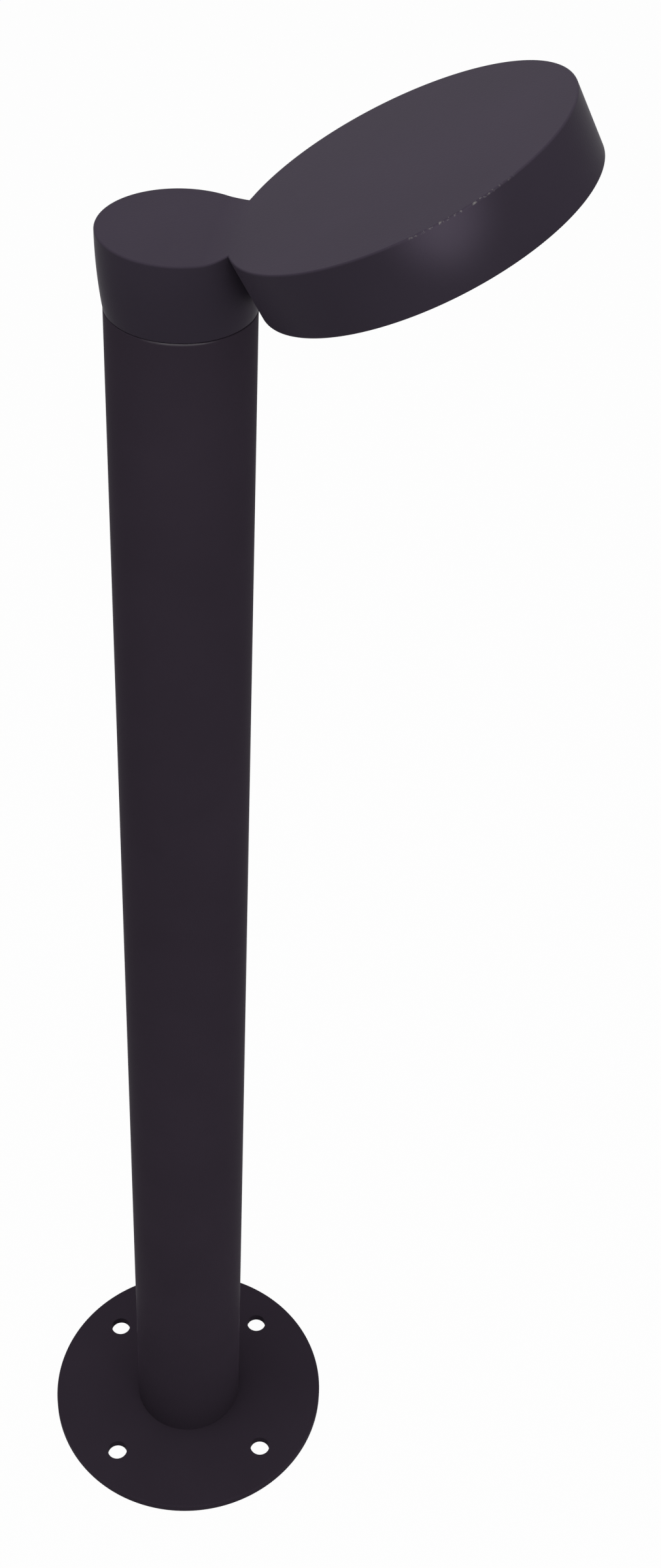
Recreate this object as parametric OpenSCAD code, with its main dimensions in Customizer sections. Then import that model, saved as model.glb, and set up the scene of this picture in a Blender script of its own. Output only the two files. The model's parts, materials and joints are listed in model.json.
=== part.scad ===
// Bollard light: round base plate, round post and a one-piece cast head, a cap that carries a tilted disc.
// Origin on the post's axis at the underside of the base plate, +Z up, the disc towards +X.

/* [Base plate] */
// Diameter of the base plate
base_d = 200; // [180:1:240]
// Thickness of the base plate
base_t = 6; // [5:0.5:10]
// Chamfer of the base plate's top edge
base_chamfer = 0.8; // [0.4:0.1:1.5]
// Diameter of the circle of the anchor holes
anchor_pcd = 150; // [140:1:160]
// Diameter of an anchor hole
anchor_d = 14; // [11:0.5:16]
// Number of anchor holes
anchor_count = 4; // [3, 4, 6]
// Turn of the first anchor hole about the post's axis
anchor_turn = 56; // [0:1:90]
// Diameter of the cable hole in the base plate
cable_hole_d = 38; // [30:1:40]

/* [Post] */
// Height of the post's top edge above the ground
post_top = 936; // [600:1:1200]
// Outer diameter of the post
post_d = 76; // [74:1:84]
// Wall thickness of the post
post_wall = 3; // [2:0.25:3.5]
// Chamfer on each side of the joint between post and cap
joint_chamfer = 0.6; // [0.3:0.1:1]

/* [Screw channels] */
// Distance of a channel's centre from the post's inner wall
channel_inset = 7.5; // [7:0.25:8.5]
// Wall round a channel's bore
channel_wall = 2.4; // [1.8:0.1:2.6]
// Width of the slot that opens a channel towards the post's axis
channel_slot = 2.5; // [1.5:0.5:3.5]
// Width of the web that ties a channel to the wall
channel_web = 5; // [3:0.5:8]

/* [Cap] */
// Height of the cap above the post
cap_h = 42; // [40:1:56]
// Diameter of the cap at its flat top
cap_top_d = 82; // [80:1:92]
// Wall thickness of the casting
head_wall = 3; // [2.5:0.25:3.5]
// Thickness of the casting's top
head_top = 3.5; // [3:0.25:5]
// Rounding of the head's outer edges
rim_round = 1; // [0.8:0.1:2]

/* [Disc] */
// Diameter of the disc at its top
disc_d = 177; // [170:1:190]
// Height of the disc
disc_h = 34.5; // [33:0.5:42]
// Tilt of the disc, its far side up
disc_tilt = 28.4; // [24:0.1:32]
// Distance from the post's axis to the lowest point of the disc's top edge
disc_near = 23.5; // [21:0.5:26]
// Draft of the disc's wall, as the radius lost at its underside
disc_draft = 0.7; // [0.3:0.1:1.2]
// Half the width of the soft blend between the cap's top and the disc's top
crease_blend = 7; // [3:0.5:9]

/* [Inside of the disc] */
// Number of cooling ribs under the disc's top
rib_count = 12; // [8, 12, 16]
// Depth of the cooling ribs
rib_h = 8; // [7:0.5:9]
// Thickness of a cooling rib
rib_t = 2; // [1.5:0.25:3]
// Radius of the pad under the middle of the lamp board
pad_r = 26; // [18:1:32]
// Distance from the diffuser's edge in to the gasket wall's inner face
seal_wall_inset = 4.5; // [4:0.25:6]
// Thickness of the wall that carries the gasket
seal_wall_t = 3; // [2.5:0.25:3.5]

/* [Lamp] */
// Radius of the lamp board
board_r = 56; // [54:0.5:58]
// Thickness of the lamp board
board_t = 1.6; // [1:0.2:2]
// Distance of the board's screws from its edge
board_screw_inset = 4.5; // [4:0.25:6]
// Radius of the inner ring of lamps
led_ring_r = 10; // [8:1:12]
// Distance between one ring of lamps and the next
led_ring_step = 12; // [10:1:13]
// Number of rings of lamps
led_ring_count = 3; // [2, 3]
// Distance between neighbouring lamps of a ring
led_pitch = 11; // [9:1:14]
// Side of a lamp package
led_size = 3; // [2.5:0.5:3.5]
// Height of a lamp package
led_h = 0.7; // [0.5:0.1:1]
// Length, width and height of the board's wire terminal
terminal_size = [8, 10, 5.8];
// Distance from the disc's axis to the terminal's inner end
terminal_at = 39.5; // [39:0.5:41]
// Thickness of the reflector
reflector_t = 1; // [0.8:0.1:1.5]
// Width of the reflector's flange under the board
reflector_flange = 9; // [8:0.5:9.5]

/* [Underside] */
// Width of the bezel's deep ring round the diffuser
bezel_w = 8.7; // [8:0.1:10]
// Thickness of the diffuser's edge
diffuser_t = 3; // [2:0.25:4]
// Depth of the diffuser's raised face
diffuser_step = 1.5; // [1:0.25:2]
// Thickness of the gasket
gasket_t = 1.5; // [1:0.25:2]
// Reach of the bezel's lip under the diffuser's edge
lip_reach = 7.5; // [6:0.5:10]
// Thickness of the bezel's lip under the diffuser
bezel_lip = 3; // [2.5:0.25:4]
// Number of bezel screws
bezel_screw_count = 6; // [6, 8]

/* [Adapter] */
// Thickness of the adapter's flange
flange_t = 6; // [5:0.5:7]
// Outer diameter of the adapter's collar
collar_d = 43; // [41:0.5:44]
// Height of the adapter's collar above its flange
collar_h = 12; // [11:0.5:12.5]
// Wall thickness of the adapter's collar
collar_wall = 4.5; // [4:0.25:5]
// Depth of the groove for the grub screws
groove_depth = 1.5; // [1:0.25:1.5]
// Thickness of the adapter's web round the grommet
web_t = 3; // [2.5:0.25:4]
// Diameter of the web's hole for the grommet
web_hole_d = 14; // [12:0.5:16]
// Thickness of the neck seal's ring
seal_d = 2.1; // [1.8:0.1:2.4]

/* [Gear tray] */
// Thickness of the tray's sheet
tray_t = 1.5; // [1:0.25:2]
// Width between the tray's side flanges
tray_w = 40; // [38:1:42]
// Depth of the tray's side flanges
tray_lip = 6; // [4:0.5:8]
// Width of the tab that hangs the tray from the adapter
tab_w = 56; // [54:1:58]
// Distance of the tab's screws from the post's axis
tab_screw_x = 23; // [22:0.5:24]
// Width, depth and length of the driver's case
driver_size = [36, 20, 110];
// Distance from the post's top edge down to the driver's case
driver_drop = 60; // [45:1:90]
// Length of the ears on the driver's case
ear_l = 10; // [9:0.5:14]
// Thickness of the ears on the driver's case
ear_t = 3; // [2:0.5:4]
// Diameter of the supply connector
connector_d = 22; // [20:0.5:23]
// Length of the supply connector's barrel
connector_l = 46; // [40:1:60]
// Length of a connector nut
nut_l = 12; // [10:0.5:16]
// Wall between the connector's barrel and its threaded spigots
spigot_step = 4; // [3:0.25:5]
// Free space in a nut past the end of its spigot
spigot_free = 2; // [1.5:0.25:3]
// Gap between the driver's case and the supply connector's nut
connector_drop = 34; // [28:1:50]
// Width of the connector's clip
clip_w = 12; // [10:0.5:16]
// Thickness of the connector's clip
clip_t = 1.5; // [1:0.25:2]

/* [Leads] */
// Diameter of the lead from the driver to the lamp board
output_lead_d = 5; // [4:0.25:5.5]
// Diameter of the lead from the supply connector to the driver
input_lead_d = 6; // [5:0.25:7]
// Radius of the lead's bend above the grommet
lead_bend = 14; // [12:0.5:14]
// Radius of the lead's bend into the disc
lead_sweep = 20; // [16:1:24]
// Level stretch of the lead between its two bends
lead_level = 6; // [5:0.5:7]

/* [Fasteners] */
// Thread of the screws that hold base plate and adapter to the post
post_screw_d = 6; // [5:0.5:6]
// Length of those screws past the face that they press on
post_screw_l = 22; // [16:1:30]
// Thread of the grub screws that lock the head
grub_d = 6; // [5:0.5:6]
// Thread of the tray's and driver's screws
tray_screw_d = 4; // [3:0.5:4]
// Thread of the bezel's screws
bezel_screw_d = 4; // [3:0.5:4]
// Length of the bezel's screws
bezel_screw_l = 16; // [14:1:20]
// Thread of the board's and clip's screws
small_screw_d = 3; // [2.5:0.5:3]

/* [Clearances] */
// Gap between pieces that slip over each other
slip_gap = 0.3; // [0.2:0.05:0.4]
// Gap between a thread and its hole
thread_gap = 0.05; // [0.03:0.01:0.1]
// Gap round a screw where it only passes through
pass_gap = 0.3; // [0.2:0.05:0.4]
// Gap between a round piece and what holds it
seat_gap = 0.1; // [0.05:0.05:0.15]

/* [Hidden] */
$fn = 96;

// Colours
coat = [0.18, 0.16, 0.19];
raw_aluminium = [0.72, 0.73, 0.74];
steel = [0.62, 0.63, 0.65];
black_rubber = [0.08, 0.08, 0.08];
white_plastic = [0.92, 0.92, 0.90];
opal = [0.95, 0.95, 0.92];

// Small sizes that cuts and recesses share
over = 1;
lead_sides = 10;
arc_steps = 8;
hex_sides = 6;
recess = 0.3;

// Post and its channels
post_r = post_d / 2;
post_in_r = post_r - post_wall;
channel_turn = 45;
channel_count = 4;
channel_at = post_in_r - channel_inset;
channel_bore_r = post_screw_d / 2 + thread_gap;
channel_r = channel_bore_r + channel_wall;
channel_free_y = channel_at * sin(channel_turn) - channel_r;

// Head
cap_top_r = cap_top_d / 2;
cap_top_z = post_top + cap_h;
disc_r = disc_d / 2;
disc_in_r = disc_r - disc_draft - head_wall;
board_z = -head_top - rib_h;
diffuser_r = disc_in_r - bezel_w - 2 * slip_gap;
window_r = diffuser_r - lip_reach;
seal_wall_r = diffuser_r - seal_wall_inset;
seal_wall_out_r = seal_wall_r + seal_wall_t;
seat_z = -disc_h + bezel_lip + diffuser_t + gasket_t;
bezel_screw_r = (seal_wall_out_r + disc_in_r) / 2;
bezel_boss_r = (disc_in_r - seal_wall_out_r) / 2 + slip_gap;
lamp_z = board_z - board_t;
lead_z = lamp_z - terminal_size[2] / 2;
board_screw_r = board_r - board_screw_inset;
rib_turn = 180 / rib_count;
bezel_turn = 180 / bezel_screw_count;
board_screw_count = 4;
board_boss_r = small_screw_d / 2 + 2.5;

// Adapter
adapter_r = post_in_r - slip_gap;
flange_top = post_top + flange_t;
collar_r = collar_d / 2;
collar_in_r = collar_r - collar_wall;
grub_z = flange_top + collar_h / 2 + 1;
grub_turns = [90, 180];
grub_boss_r = grub_d / 2 + 2.5;
grub_tip_r = collar_r - groove_depth + seat_gap;
groove_half_w = grub_d / 4 + 2 * seat_gap;
seal_mid_r = post_in_r - seat_gap / 2 - seal_d / 2;
seal_groove_r = post_in_r - seal_d - seat_gap;
seal_groove_w = seal_d * 1.2;
seal_up = flange_t * 0.55;

// Gear tray, hung between the channels, its back rounded in to a twentieth of a millimetre
tray_back = -floor((channel_free_y - slip_gap) * 20) / 20;
tray_face = tray_back + tray_t;
tray_top = post_top;
driver_top = post_top - driver_drop;
driver_bottom = driver_top - driver_size[2];
driver_y = tray_face + driver_size[1] / 2;
connector_r = connector_d / 2;
spigot_r = connector_r - spigot_step;
connector_y = tray_face + connector_r + seat_gap;
nut_top = driver_bottom - connector_drop;
barrel_top = nut_top - nut_l;
barrel_bottom = barrel_top - connector_l;
nut_af = connector_d - 2;
clip_z = (barrel_top + barrel_bottom) / 2;
clip_foot = small_screw_d * 2 + 1;
clip_screw_x = connector_r + seat_gap + clip_t + clip_foot / 2;
tray_end = clip_z - clip_w;
ear_screw_z = ear_l / 2;
grommet_lip = 1.8;
grommet_r = web_hole_d / 2 + 2.5;

// Leads
output_lead_r = output_lead_d / 2;
input_lead_r = input_lead_d / 2;
bend_end_x = lead_bend + lead_level + lead_sweep * sin(disc_tilt);
bend_end_z = cap_top_z + (bend_end_x - disc_near) * tan(disc_tilt) + lead_z / cos(disc_tilt);
level_z = bend_end_z - lead_sweep * (1 - cos(disc_tilt));
lead_end_x = disc_near + (disc_r - terminal_at - terminal_size[0]) * cos(disc_tilt) - lead_z * sin(disc_tilt);
lead_end_z = cap_top_z + (disc_r - terminal_at - terminal_size[0]) * sin(disc_tilt) + lead_z * cos(disc_tilt);

// Places children in the disc's own frame: its axis is Z and its top face is at zero
module disc_frame() {
    translate([disc_near, 0, cap_top_z]) rotate([0, -disc_tilt, 0]) translate([disc_r, 0, 0]) children();
}

// Repeats children round the axis
module ring_of(count, radius, turn = 0) {
    for (i = [0 : count - 1]) rotate(turn + i * 360 / count) translate([radius, 0, 0]) children();
}

// Points of an arc, centre c, from one angle to another
function arc(c, r, from, to, steps) =
    [for (i = [0 : steps]) let (a = from + (to - from) * i / steps) [c[0] + r * cos(a), c[1] + r * sin(a)]];

// A flat ring
module tube_ring(r_out, r_in, h) {
    difference() {
        cylinder(r = r_out, h = h);
        translate([0, 0, -over]) cylinder(r = r_in, h = h + 2 * over);
    }
}

// Cap screw along Z: its seat at zero, its head above and its shank below
module cap_screw(d, length) {
    head_r = d * 5 / 6;
    difference() {
        union() {
            cylinder(r = head_r, h = d);
            translate([0, 0, -length]) cylinder(d = d, h = length);
        }
        translate([0, 0, d / 2]) cylinder(d = d * 0.95, h = d, $fn = hex_sides);
    }
}

// Countersunk screw along Z: the flat of its head at zero, its shank below
module flat_screw(d, length) {
    difference() {
        union() {
            translate([0, 0, -d / 2]) cylinder(r1 = d / 2, r2 = d, h = d / 2);
            translate([0, 0, -length]) cylinder(d = d, h = length - d / 2);
        }
        translate([0, 0, -d * 0.4]) cylinder(d = d * 0.7, h = d, $fn = hex_sides);
    }
}

// Countersunk hole for that screw
module flat_hole(d, length, gap) {
    translate([0, 0, -d / 2 - recess]) cylinder(r1 = d / 2 + seat_gap, r2 = d + seat_gap, h = d / 2);
    translate([0, 0, -recess - over / 100]) cylinder(r = d + seat_gap, h = over + recess);
    translate([0, 0, -length]) cylinder(r = d / 2 + gap, h = length);
}

// Tube swept along a path that stays in one plane with the given normal
module swept_lead(path, r, normal) {
    last = len(path) - 1;
    points = [
        for (i = [0 : last])
            let (
                ahead = path[min(i + 1, last)] - path[max(i - 1, 0)],
                side = cross(ahead, normal) / norm(ahead)
            )
            for (k = [0 : lead_sides - 1])
                path[i] + r * (cos(k * 360 / lead_sides) * normal + sin(k * 360 / lead_sides) * side)
    ];
    skin = [
        for (i = [0 : last - 1])
            for (k = [0 : lead_sides - 1])
                let (a = i * lead_sides + k, b = i * lead_sides + (k + 1) % lead_sides)
                each [[a, b, b + lead_sides], [a, b + lead_sides, a + lead_sides]]
    ];
    near_end = [[for (k = [lead_sides - 1 : -1 : 0]) k]];
    far_end = [[for (k = [0 : lead_sides - 1]) last * lead_sides + k]];
    polyhedron(points = points, faces = concat(skin, near_end, far_end), convexity = 4);
}

// Base plate, with its anchor holes, its cable hole and the countersunk holes of the post's screws
module base_plate() {
    color(coat)
    difference() {
        rotate_extrude() polygon([
            [0, 0],
            [base_d / 2, 0],
            [base_d / 2, base_t - base_chamfer],
            [base_d / 2 - base_chamfer, base_t],
            [0, base_t]
        ]);
        translate([0, 0, -over]) cylinder(d = cable_hole_d, h = base_t + 2 * over);
        ring_of(anchor_count, anchor_pcd / 2, anchor_turn)
            translate([0, 0, -over]) cylinder(d = anchor_d, h = base_t + 2 * over);
        ring_of(channel_count, channel_at, channel_turn)
            rotate([180, 0, 0]) flat_hole(post_screw_d, base_t + over, pass_gap);
    }
}

module base_screws() {
    color(steel)
    ring_of(channel_count, channel_at, channel_turn)
        translate([0, 0, recess]) rotate([180, 0, 0]) flat_screw(post_screw_d, base_t + post_screw_l);
}

// Section of the post: a round wall with slotted screw channels
module post_section() {
    difference() {
        union() {
            difference() {
                circle(r = post_r);
                circle(r = post_in_r);
            }
            ring_of(channel_count, channel_at, channel_turn) {
                circle(r = channel_r);
                translate([0, -channel_web / 2]) square([channel_inset + post_wall / 2, channel_web]);
            }
        }
        ring_of(channel_count, channel_at, channel_turn) {
            circle(r = channel_bore_r);
            translate([-channel_r - over, -channel_slot / 2]) square([channel_r + over, channel_slot]);
        }
    }
}

module post_tube() {
    color(coat)
    difference() {
        translate([0, 0, base_t]) linear_extrude(height = post_top - base_t) post_section();
        translate([0, 0, post_top]) rotate_extrude() polygon([
            [post_r - joint_chamfer, over],
            [post_r - joint_chamfer, 0],
            [post_r, -joint_chamfer],
            [post_r + over, -joint_chamfer],
            [post_r + over, over]
        ]);
    }
}

// Adapter that closes the post's top: a flange on the channels' ends and a collar inside the cap
module post_adapter() {
    groove_mid = grub_z - flange_top;
    color(raw_aluminium)
    difference() {
        translate([0, 0, post_top]) rotate_extrude() polygon([
            [web_hole_d / 2, 0],
            [adapter_r, 0],
            [adapter_r, seal_up - seal_groove_w / 2],
            [seal_groove_r, seal_up - seal_groove_w / 2],
            [seal_groove_r, seal_up + seal_groove_w / 2],
            [adapter_r, seal_up + seal_groove_w / 2],
            [adapter_r, flange_t],
            [collar_r, flange_t],
            [collar_r, flange_t + groove_mid - groove_half_w - groove_depth],
            [collar_r - groove_depth, flange_t + groove_mid - groove_half_w],
            [collar_r - groove_depth, flange_t + groove_mid + groove_half_w],
            [collar_r, flange_t + groove_mid + groove_half_w + groove_depth],
            [collar_r, flange_t + collar_h],
            [collar_in_r, flange_t + collar_h],
            [collar_in_r, web_t],
            [web_hole_d / 2, web_t]
        ]);
        ring_of(channel_count, channel_at, channel_turn)
            translate([0, 0, post_top - over])
                cylinder(r = post_screw_d / 2 + pass_gap, h = flange_t + 2 * over);
        for (side = [-1, 1]) translate([side * tab_screw_x, 0, post_top - over])
            cylinder(r = tray_screw_d / 2 + thread_gap, h = flange_t + over / 2);
    }
}

module adapter_screws() {
    color(steel)
    ring_of(channel_count, channel_at, channel_turn)
        translate([0, 0, flange_top]) cap_screw(post_screw_d, flange_t + post_screw_l);
}

module neck_seal() {
    color(black_rubber)
    translate([0, 0, post_top + seal_up]) rotate_extrude()
        translate([seal_mid_r, 0]) circle(d = seal_d, $fn = 32);
}

// Outline of the cap's wall: an arc that stands upright at the top and leans in to the post's width
function cap_wall_arc(r_low, r_top, h) =
    let (
        lean = r_top - r_low,
        bow = (h * h + lean * lean) / (2 * lean),
        sweep = asin(h / bow)
    )
    arc([r_top - bow, h], bow, -sweep, 0, arc_steps);

module cap_outer() {
    wall = cap_wall_arc(post_r, cap_top_r, cap_h - rim_round);
    rotate_extrude() polygon(concat(
        [[0, 0], [post_r - joint_chamfer, 0]],
        [[post_r, joint_chamfer]],
        [for (i = [1 : arc_steps - 1]) wall[i]],
        arc([cap_top_r - rim_round, cap_h - rim_round], rim_round, 0, 90, 4),
        [[0, cap_h]]
    ));
}

// Hollow of the cap: straight where it slips over the adapter, then along the wall
module cap_hollow() {
    top_z = cap_h - head_top;
    rotate_extrude() polygon([
        [0, -over],
        [post_in_r, -over],
        [post_in_r, flange_t],
        [cap_top_r - head_wall - disc_draft, top_z - rim_round],
        [cap_top_r - head_wall - disc_draft - rim_round, top_z],
        [0, top_z]
    ]);
}

// Disc of the head: a drum with rounded edges and a little draft
module disc_outer() {
    low_r = disc_r - disc_draft;
    rotate_extrude() polygon(concat(
        [[0, -disc_h]],
        arc([low_r - rim_round, -disc_h + rim_round], rim_round, -90, 0, 4),
        arc([disc_r - rim_round, -rim_round], rim_round, 0, 90, 4),
        [[0, 0]]
    ));
}

// Saddle that carries the disc's top plane across the cap, and blends it into the cap's level top
module saddle() {
    blend_r = crease_blend / tan(disc_tilt / 2);
    start_x = disc_near - crease_blend;
    blend = arc([start_x, blend_r], blend_r, -90, -90 + disc_tilt, arc_steps);
    intersection() {
        translate([0, 0, cap_top_z - head_top]) cylinder(r = cap_top_r - rim_round / 2, h = head_top + cap_h);
        translate([0, cap_top_r, cap_top_z]) rotate([90, 0, 0])
            linear_extrude(height = cap_top_d) polygon(concat(
            [[start_x, -head_top]],
            blend,
            [[cap_top_r, (cap_top_r - disc_near) * tan(disc_tilt)]],
            [[cap_top_r, -head_top]]
        ));
    }
}

// Ribs, pad, bosses and gasket wall under the disc's top
module disc_inside() {
    top = -head_top + over;
    translate([0, 0, board_z]) cylinder(r = pad_r, h = top - board_z);
    ring_of(rib_count, pad_r - over, rib_turn)
        translate([0, -rib_t / 2, board_z]) cube([seal_wall_r - pad_r + 2 * over, rib_t, top - board_z]);
    ring_of(board_screw_count, board_screw_r, 45)
        translate([0, 0, board_z]) cylinder(r = board_boss_r, h = top - board_z);
    translate([0, 0, seat_z]) tube_ring(seal_wall_out_r, seal_wall_r, top - seat_z);
    ring_of(bezel_screw_count, bezel_screw_r, bezel_turn)
        translate([0, 0, seat_z]) cylinder(r = bezel_boss_r, h = top - seat_z);
}

module grub_place() {
    for (turn = grub_turns) rotate(turn) translate([0, 0, grub_z]) rotate([0, 90, 0]) children();
}

// Cast head: cap and disc in one, hollow, with its bosses inside
module head_housing() {
    color(coat)
    difference() {
        union() {
            difference() {
                union() {
                    translate([0, 0, post_top]) cap_outer();
                    disc_frame() disc_outer();
                    saddle();
                }
                translate([0, 0, post_top]) cap_hollow();
                disc_frame() translate([0, 0, -disc_h - over])
                    cylinder(r = disc_in_r, h = disc_h + over - head_top);
            }
            disc_frame() disc_inside();
            grub_place() translate([0, 0, collar_r + slip_gap])
                cylinder(r = grub_boss_r, h = post_r - collar_r - post_wall / 2);
        }
        grub_place() cylinder(r = grub_d / 2 + thread_gap, h = cap_top_r + over);
        disc_frame() {
            ring_of(board_screw_count, board_screw_r, 45)
                translate([0, 0, board_z - over])
                    cylinder(r = small_screw_d / 2 + thread_gap, h = rib_h + over);
            ring_of(bezel_screw_count, bezel_screw_r, bezel_turn)
                translate([0, 0, seat_z - over])
                    cylinder(r = bezel_screw_d / 2 + thread_gap, h = bezel_screw_l);
            translate([-seal_wall_out_r - over, 0, lead_z]) rotate([0, 90, 0])
                cylinder(r = output_lead_r + over, h = seal_wall_t + 4 * over);
        }
    }
}

// Grub screws, sunk below the cap's surface
module head_grub_screws() {
    length = post_r - grub_tip_r;
    color(steel)
    grub_place() translate([0, 0, grub_tip_r]) difference() {
        union() {
            cylinder(r1 = grub_d / 4, r2 = grub_d / 2, h = grub_d / 4);
            translate([0, 0, grub_d / 4]) cylinder(r = grub_d / 2, h = length - grub_d / 4);
        }
        translate([0, 0, length - grub_d / 2]) cylinder(d = grub_d / 2, h = grub_d, $fn = hex_sides);
    }
}

// Rubber grommet in the adapter's web
module lead_grommet() {
    hole_r = output_lead_r + seat_gap;
    color(black_rubber)
    translate([0, 0, post_top]) rotate_extrude() polygon([
        [hole_r, -grommet_lip],
        [grommet_r, -grommet_lip],
        [grommet_r, 0],
        [web_hole_d / 2 - seat_gap, 0],
        [web_hole_d / 2 - seat_gap, web_t],
        [grommet_r, web_t],
        [grommet_r, web_t + grommet_lip],
        [hole_r, web_t + grommet_lip]
    ]);
}

// Folded tray that hangs from the adapter and carries the driver and the supply connector
module gear_tray() {
    half_w = tray_w / 2 + tray_t;
    color(raw_aluminium)
    difference() {
        union() {
            translate([-half_w, tray_back, tray_end]) cube([2 * half_w, tray_t, tray_top - tray_end]);
            for (side = [-1, 1]) translate([side * (half_w - tray_t / 2) - tray_t / 2, tray_back, tray_end])
                cube([tray_t, tray_lip + tray_t, driver_top - tray_end]);
            translate([-tab_w / 2, tray_back, tray_top - tray_t])
                cube([tab_w, -tray_back + channel_free_y / 2, tray_t]);
        }
        translate([0, 0, tray_top - tray_t - over]) cylinder(r = grommet_r + slip_gap, h = tray_t + 2 * over);
        for (side = [-1, 1]) translate([side * tab_screw_x, 0, tray_top - tray_t - over])
            cylinder(r = tray_screw_d / 2 + pass_gap, h = tray_t + 2 * over);
        for (z = [driver_top + ear_screw_z, driver_bottom - ear_screw_z])
            translate([0, tray_face + over, z]) rotate([90, 0, 0])
                cylinder(r = tray_screw_d / 2 + thread_gap, h = tray_t + 2 * over);
        for (side = [-1, 1]) translate([side * clip_screw_x, tray_face + over, clip_z]) rotate([90, 0, 0])
            cylinder(r = small_screw_d / 2 + thread_gap, h = tray_t + 2 * over);
    }
}

module tray_screws() {
    color(steel)
    for (side = [-1, 1]) translate([side * tab_screw_x, 0, tray_top - tray_t]) rotate([180, 0, 0])
        cap_screw(tray_screw_d, tray_t + flange_t - 2 * over);
}

// Outline of the driver's case, with rounded corners
module driver_section() {
    w = driver_size[0];
    d = driver_size[1];
    round_r = 2;
    square([w - 2 * round_r, d], center = true);
    square([w, d - 2 * round_r], center = true);
    for (x = [-1, 1]) for (y = [-1, 1]) translate([x * (w / 2 - round_r), y * (d / 2 - round_r)])
        circle(r = round_r, $fn = 24);
}

module led_driver() {
    color(white_plastic)
    difference() {
        union() {
            translate([0, driver_y, driver_bottom]) linear_extrude(height = driver_size[2]) driver_section();
            translate([-driver_size[0] / 3, tray_face, driver_bottom - ear_l])
                cube([driver_size[0] * 2 / 3, ear_t, driver_size[2] + 2 * ear_l]);
        }
        for (z = [driver_top + ear_screw_z, driver_bottom - ear_screw_z])
            translate([0, tray_face + ear_t + over, z]) rotate([90, 0, 0])
                cylinder(r = tray_screw_d / 2 + pass_gap, h = ear_t + 2 * over);
    }
}

module driver_screws() {
    color(steel)
    for (z = [driver_top + ear_screw_z, driver_bottom - ear_screw_z])
        translate([0, tray_face + ear_t, z]) rotate([-90, 0, 0]) cap_screw(tray_screw_d, ear_t + tray_t);
}

// Barrel of the supply connector, with a threaded spigot at each end and a blind entry for the supply
module supply_connector() {
    grip_count = 12;
    color(black_rubber)
    translate([0, connector_y, 0]) difference() {
        union() {
            translate([0, 0, barrel_bottom]) cylinder(r = connector_r, h = connector_l);
            translate([0, 0, barrel_bottom - nut_l + spigot_free])
                cylinder(r = spigot_r, h = connector_l + 2 * (nut_l - spigot_free));
        }
        translate([0, 0, barrel_bottom - nut_l])
            cylinder(r = input_lead_r + over, h = nut_l + connector_l / 3);
        translate([0, 0, barrel_top - nut_l / 2]) cylinder(r = input_lead_r + seat_gap, h = 2 * nut_l);
        ring_of(grip_count, connector_r + 0.6)
            translate([0, 0, barrel_bottom - over]) cylinder(r = 1, h = connector_l / 4, $fn = 24);
        ring_of(grip_count, connector_r + 0.6)
            translate([0, 0, barrel_top + over - connector_l / 4])
                cylinder(r = 1, h = connector_l / 4, $fn = 24);
    }
}

// Gland nut: a hexagon with a domed end
module gland_nut() {
    difference() {
        union() {
            cylinder(d = nut_af / cos(30), h = nut_l * 0.6, $fn = hex_sides);
            translate([0, 0, nut_l * 0.6]) cylinder(r1 = nut_af / 2, r2 = nut_af / 3, h = nut_l * 0.4);
        }
        translate([0, 0, -over]) cylinder(r = spigot_r + thread_gap, h = nut_l - spigot_free + over);
        cylinder(r = input_lead_r + seat_gap, h = nut_l + over);
    }
}

module connector_nuts() {
    color(black_rubber) {
        translate([0, connector_y, barrel_top]) gland_nut();
        translate([0, connector_y, barrel_bottom]) rotate([180, 0, 0]) gland_nut();
    }
}

// Saddle clip that holds the connector on the tray
module connector_clip() {
    in_r = connector_r + seat_gap;
    out_r = in_r + clip_t;
    color(white_plastic)
    difference() {
        translate([0, 0, clip_z - clip_w / 2]) linear_extrude(height = clip_w) {
            difference() {
                union() {
                    translate([0, connector_y]) circle(r = out_r);
                    translate([-out_r, tray_face]) square([2 * out_r, connector_y - tray_face]);
                }
                translate([0, connector_y]) circle(r = in_r);
                translate([-in_r, tray_face - over]) square([2 * in_r, connector_y - tray_face + over]);
                translate([-2 * out_r, tray_face - 2 * out_r]) square([4 * out_r, 2 * out_r]);
            }
            for (side = [-1, 1]) translate([side * clip_screw_x - clip_foot / 2 - seat_gap, tray_face])
                square([clip_foot + 2 * seat_gap, clip_t]);
        }
        for (side = [-1, 1]) translate([side * clip_screw_x, tray_face + clip_t + over, clip_z])
            rotate([90, 0, 0]) cylinder(r = small_screw_d / 2 + pass_gap, h = clip_t + 2 * over);
    }
}

module clip_screws() {
    color(steel)
    for (side = [-1, 1]) translate([side * clip_screw_x, tray_face + clip_t, clip_z]) rotate([-90, 0, 0])
        cap_screw(small_screw_d, clip_t + tray_t);
}

// Lead from the supply connector to the driver's case
module driver_input_lead() {
    free_z = nut_top + over;
    rise = driver_bottom - over - free_z;
    steps = 8;
    curve = [
        for (i = [0 : steps])
            let (t = i / steps, blend = t * t * (3 - 2 * t))
            [0, connector_y * (1 - blend), free_z + rise * t]
    ];
    path = concat([[0, connector_y, barrel_top - nut_l / 2 + over]], curve, [[0, 0, driver_bottom]]);
    color(black_rubber) swept_lead(path, input_lead_r, [1, 0, 0]);
}

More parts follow.
